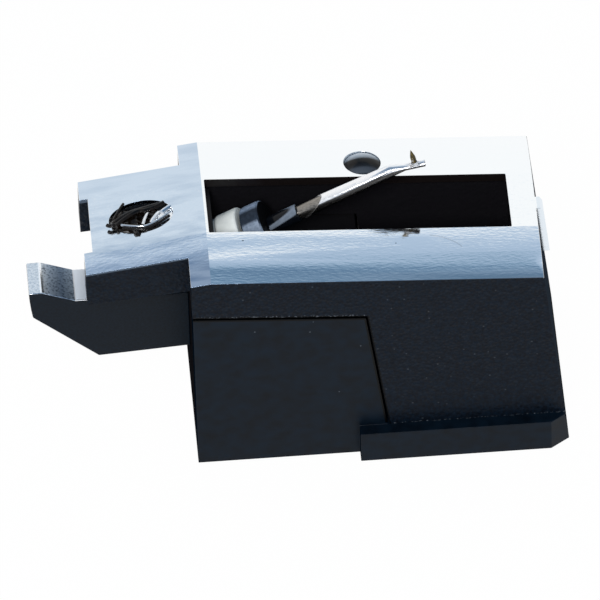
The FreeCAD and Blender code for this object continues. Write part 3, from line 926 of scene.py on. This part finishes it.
def makeStud():
    deselect()
    bpy.ops.mesh.primitive_uv_sphere_add(
        segments=stud["steps"],
        ring_count=stud["steps"],
        radius=stud["radius"] * mm,
        location=place(*stud["middle"]),
    )
    dome = bpy.context.active_object
    dome.name = "outer_shell.stud"
    bpy.ops.object.transform_apply(location=True, rotation=True, scale=True)
    bpy.ops.object.mode_set(mode="EDIT")
    bpy.ops.mesh.select_all(action="SELECT")
    bpy.ops.mesh.bisect(
        plane_co=place(0, 0, stud["foot"]),
        plane_no=(0, 0, 1),
        use_fill=True,
        clear_inner=True,
        threshold=1e-7,
    )
    bpy.ops.object.mode_set(mode="OBJECT")
    bpy.ops.object.shade_smooth_by_angle(angle=math.radians(smoothing["stud"]))
    return dome


dress(makeStud(), "housing", "textured_black")
print("stud set")

# The port holds hardened cement with stiff threads in it, and a bright strip with bright strands joined to
# it as painted glints along the port's rim
cement = {
    "middle": (-1.84, 0.0, 8.76),
    "half": (1.12, 0.77, 0.22),
    "lump": 0.40,
    "swell": 0.44,
    "level": 0.6,
    "clipEdge": 0.03,
    "threads": [
        {
            "radius": 0.12,
            "points": [(-2.85, -0.30, 9.00), (-2.4, 0.05, 9.10), (-1.8, 0.30, 9.06), (-1.15, 0.46, 9.10)],
        },
        {
            "radius": 0.10,
            "points": [(-2.75, -0.42, 9.05), (-2.1, 0.22, 9.12), (-1.5, 0.24, 9.08), (-0.95, 0.52, 9.14)],
        },
        {"radius": 0.05, "points": [(-2.80, -0.10, 9.05), (-2.62, 0.25, 9.14), (-2.40, 0.62, 9.13)]},
        {"radius": 0.07, "points": [(-3.05, -0.30, 9.02), (-2.90, -0.46, 9.05), (-2.70, -0.30, 9.06)]},
        {
            "radius": 0.05,
            "points": [(-2.5, -0.50, 9.05), (-1.95, -0.76, 9.10), (-1.35, -0.60, 9.12), (-0.8, -0.14, 9.15)],
        },
        {"radius": 0.08, "points": [(-2.10, -0.80, 9.09), (-2.02, -0.72, 9.10), (-1.94, -0.80, 9.09)]},
    ],
    "glints": [
        {
            "radius": 0.045,
            "points": [(-2.55, -0.38, 9.06), (-1.95, -0.62, 9.12), (-1.4, -0.50, 9.13), (-0.80, 0.02, 9.15)],
        },
        {"radius": 0.07, "points": [(-1.78, -0.42, 9.03), (-1.70, -0.12, 9.05), (-1.58, 0.16, 9.03)]},
        {"radius": 0.11, "points": [(-1.46, -0.36, 9.00), (-1.36, -0.10, 9.03), (-1.18, 0.14, 9.01)]},
        {"radius": 0.13, "points": [(-1.05, 0.12, 9.04), (-0.88, 0.26, 9.07), (-0.72, 0.34, 9.08)]},
    ],
}


def makeThread(points, radius):
    line = bpy.data.curves.new("thread", "CURVE")
    line.dimensions = "3D"
    line.bevel_depth = radius * mm
    line.bevel_resolution = 3
    line.use_fill_caps = True
    spline = line.splines.new("NURBS")
    spline.points.add(len(points) - 1)
    for knot, spot in zip(spline.points, points):
        knot.co = (*place(*spot), 1.0)
    spline.order_u = 3
    spline.use_endpoint_u = True
    spline.resolution_u = 10
    thread = bpy.data.objects.new("thread", line)
    bpy.context.scene.collection.objects.link(thread)
    pick(thread)
    bpy.ops.object.convert(target="MESH")
    return bpy.context.active_object


def gather(name, main, others):
    deselect()
    for other in others:
        other.select_set(True)
    main.select_set(True)
    bpy.context.view_layer.objects.active = main
    bpy.ops.object.join()
    main.name = name
    bpy.ops.object.shade_smooth_by_angle(angle=math.radians(smoothing["cement"]))
    return main


def makeCement():
    deselect()
    bpy.ops.mesh.primitive_ico_sphere_add(subdivisions=5, radius=1.0, location=(0, 0, 0))
    lump = bpy.context.active_object
    lump.scale = Vector(cement["half"]) * mm
    lump.location = place(*cement["middle"])
    bpy.ops.object.transform_apply(location=True, rotation=True, scale=True)
    clouds = bpy.data.textures.new("cementLumps", "CLOUDS")
    clouds.noise_scale = cement["lump"] * mm
    clouds.noise_depth = 3
    swell = lump.modifiers.new("lumps", "DISPLACE")
    swell.texture = clouds
    swell.texture_coords = "LOCAL"
    swell.direction = "Z"
    swell.mid_level = cement["level"]
    swell.strength = cement["swell"] * mm
    bpy.ops.object.modifier_apply(modifier=swell.name)
    threads = [makeThread(**making) for making in cement["threads"]]
    return gather("port_cement.set", lump, threads)


dress(makeCement(), "housing", "cement_dark", "port_cement")
# Painted glints: bright strands set along the port's rim
glints = [makeThread(**making) for making in cement["glints"]]
strip = gather("port_clip.glints", roundedCopy("port_clip", edge=cement["clipEdge"]), glints)
dress(strip, "housing", "clip_bright", "port_clip")
print("port filled")

# Floor, light and camera
studio = {
    "floorSize": 0.6,
    "floorDrop": 0.02,
    "paper": "#F2F2F2",
    "glowShare": 0.985,
    "lampPlace": (-0.03, -0.14, 0.15),
    "lampSize": 0.06,
    "lampPower": 0.25,
    "cameraAngle": -3.2,
    "cameraHeight": 45.0,
    "cameraRoll": 1.6,
    "cameraDistance": 0.5,
    "lens": 834.0,
    "aim": (3.790, 0.0, 4.295),
    "nearest": 0.01,
    "farthest": 10,
}


def makeFloor():
    deselect()
    bpy.ops.mesh.primitive_plane_add(size=studio["floorSize"], location=(0, 0, -studio["floorDrop"] * mm))
    floor = bpy.context.active_object
    floor.name = "floor"
    material = bpy.data.materials.new("Paper white")
    material.use_nodes = True
    tree = material.node_tree
    tree.nodes.clear()
    seenBy = ("Is Camera Ray", "Is Glossy Ray", "Is Transmission Ray")
    camera, glossy, through = [addNode(tree, "ShaderNodeLightPath", {}, ray) for ray in seenBy]
    direct = addNode(tree, "ShaderNodeMath", {0: camera, 1: glossy}, operation="MAXIMUM")
    seen = addNode(tree, "ShaderNodeMath", {0: direct, 1: through}, operation="MAXIMUM")
    share = addNode(tree, "ShaderNodeMath", {0: seen, 1: studio["glowShare"]}, operation="MULTIPLY")
    paper = addNode(tree, "ShaderNodeBsdfDiffuse", {"Color": toLinear(studio["paper"])})
    glow = addNode(tree, "ShaderNodeEmission", {"Color": (1, 1, 1, 1), "Strength": 1.0})
    mixed = addNode(tree, "ShaderNodeMixShader", {0: share, 1: paper, 2: glow})
    output = tree.nodes.new("ShaderNodeOutputMaterial")
    setInputs(tree, output, {"Surface": mixed})
    floor.data.materials.append(material)


# A wide white wall behind the part and on its left, dark blue overhead, dim in front
# The tones are linear and run from the horizon to overhead
sky = {
    "behind": [
        (0.0, (1.0, 1.0, 1.0, 1.0)),
        (0.75, (0.98, 1.0, 1.0, 1.0)),
        (0.806, (0.64, 0.74, 0.86, 1.0)),
        (0.885, (0.49, 0.59, 0.72, 1.0)),
        (0.930, (0.50, 0.59, 0.72, 1.0)),
        (1.0, (0.48, 0.57, 0.70, 1.0)),
    ],
    "overBand": [
        (0.0, (1.0, 1.0, 1.0, 1.0)),
        (0.745, (0.98, 1.0, 1.0, 1.0)),
        (0.786, (0.60, 0.71, 0.83, 1.0)),
        (0.80, (0.46, 0.58, 0.73, 1.0)),
        (0.864, (0.39, 0.51, 0.66, 1.0)),
        (0.902, (0.35, 0.475, 0.62, 1.0)),
        (0.925, (0.20, 0.32, 0.455, 1.0)),
        (0.96, (0.11, 0.20, 0.32, 1.0)),
        (1.0, (0.08, 0.16, 0.27, 1.0)),
    ],
    "ahead": [
        (0.0, (0.36, 0.40, 0.46, 1.0)),
        (0.70, (0.30, 0.34, 0.40, 1.0)),
        (0.80, (0.12, 0.20, 0.30, 1.0)),
        (1.0, (0.08, 0.16, 0.27, 1.0)),
    ],
    "shade": [(0.78, (0.63, 0.72, 0.825, 1.0)), (0.88, (0.51, 0.57, 0.645, 1.0))],
    "white": (1.0, 1.0, 1.0, 1.0),
    "leftX": (-0.19, -0.26),
    "leftZ": (0.84, 0.76),
    "slant": -0.6,
    "turnReach": 0.25,
    "bandX": (-0.02, -0.07),
}


def makeSky():
    world = bpy.data.worlds.new("studio")
    bpy.context.scene.world = world
    world.use_nodes = True
    tree = world.node_tree
    back = tree.nodes["Background"]
    coords = addNode(tree, "ShaderNodeTexCoord", {}, "Generated")
    x, y, z = [addNode(tree, "ShaderNodeSeparateXYZ", {0: coords}, axis) for axis in "XYZ"]
    behind, overBand, ahead, shade = [
        addNode(tree, "ShaderNodeValToRGB", {"Fac": z}, stops=sky[part])
        for part in ("behind", "overBand", "ahead", "shade")
    ]
    leftFrom, leftTo = sky["leftX"]
    highest, lowest = sky["leftZ"]
    bandFrom, bandTo = sky["bandX"]
    reach = sky["turnReach"]
    onLeft = addNode(tree, "ShaderNodeMapRange", {"Value": x, 1: leftFrom, 2: leftTo})
    lowDown = addNode(tree, "ShaderNodeMapRange", {"Value": z, 1: highest, 2: lowest})
    leftWall = addNode(tree, "ShaderNodeMath", {0: onLeft, 1: lowDown}, operation="MULTIPLY")
    clearWall = addNode(
        tree, "ShaderNodeMix", {0: leftWall, 6: behind, 7: sky["white"]}, 2, data_type="RGBA"
    )
    slanted = addNode(tree, "ShaderNodeMath", {0: x, 1: sky["slant"], 2: y}, operation="MULTIPLY_ADD")
    side = addNode(tree, "ShaderNodeMapRange", {"Value": slanted, 1: -reach, 2: reach})
    wall = addNode(tree, "ShaderNodeMix", {0: side, 6: ahead, 7: clearWall}, 2, data_type="RGBA")
    bandWall = addNode(tree, "ShaderNodeMix", {0: side, 6: ahead, 7: overBand}, 2, data_type="RGBA")
    fromRight = addNode(tree, "ShaderNodeMapRange", {"Value": x, 1: bandFrom, 2: bandTo})
    elsewhere = addNode(tree, "ShaderNodeMath", {0: 1.0, 1: leftWall}, operation="SUBTRACT")
    layers = {0: elsewhere, 6: wall, 7: shade}
    shaded = addNode(tree, "ShaderNodeMix", layers, 2, data_type="RGBA", blend_type="MULTIPLY")
    colour = addNode(tree, "ShaderNodeMix", {0: fromRight, 6: bandWall, 7: shaded}, 2, data_type="RGBA")
    setInputs(tree, back, {"Color": colour})


def makeLamp():
    lamp = bpy.data.lights.new("keyLamp", "AREA")
    lamp.shape = "DISK"
    lamp.size = studio["lampSize"]
    lamp.energy = studio["lampPower"]
    holder = bpy.data.objects.new("keyLamp", lamp)
    bpy.context.scene.collection.objects.link(holder)
    holder.location = studio["lampPlace"]
    aim = place(*studio["aim"]) - holder.location
    holder.rotation_mode = "QUATERNION"
    holder.rotation_quaternion = aim.to_track_quat("-Z", "Y")


def makeCamera():
    camera = bpy.data.objects.new("camera", bpy.data.cameras.new("camera"))
    bpy.context.scene.collection.objects.link(camera)
    turn = math.radians(studio["cameraAngle"])
    rise = math.radians(studio["cameraHeight"])
    back = Vector((math.sin(turn) * math.cos(rise), -math.cos(turn) * math.cos(rise), math.sin(rise)))
    camera.location = place(*studio["aim"]) + back * studio["cameraDistance"]
    camera.rotation_mode = "QUATERNION"
    level = (-back).to_track_quat("-Z", "Y")
    camera.rotation_quaternion = level @ Quaternion((0, 0, 1), -math.radians(studio["cameraRoll"]))
    camera.data.lens = studio["lens"]
    camera.data.clip_start = studio["nearest"]
    camera.data.clip_end = studio["farthest"]
    bpy.context.scene.camera = camera


makeFloor()
makeSky()
makeLamp()
makeCamera()
bpy.context.scene.view_settings.view_transform = "Standard"
print("studio ready")
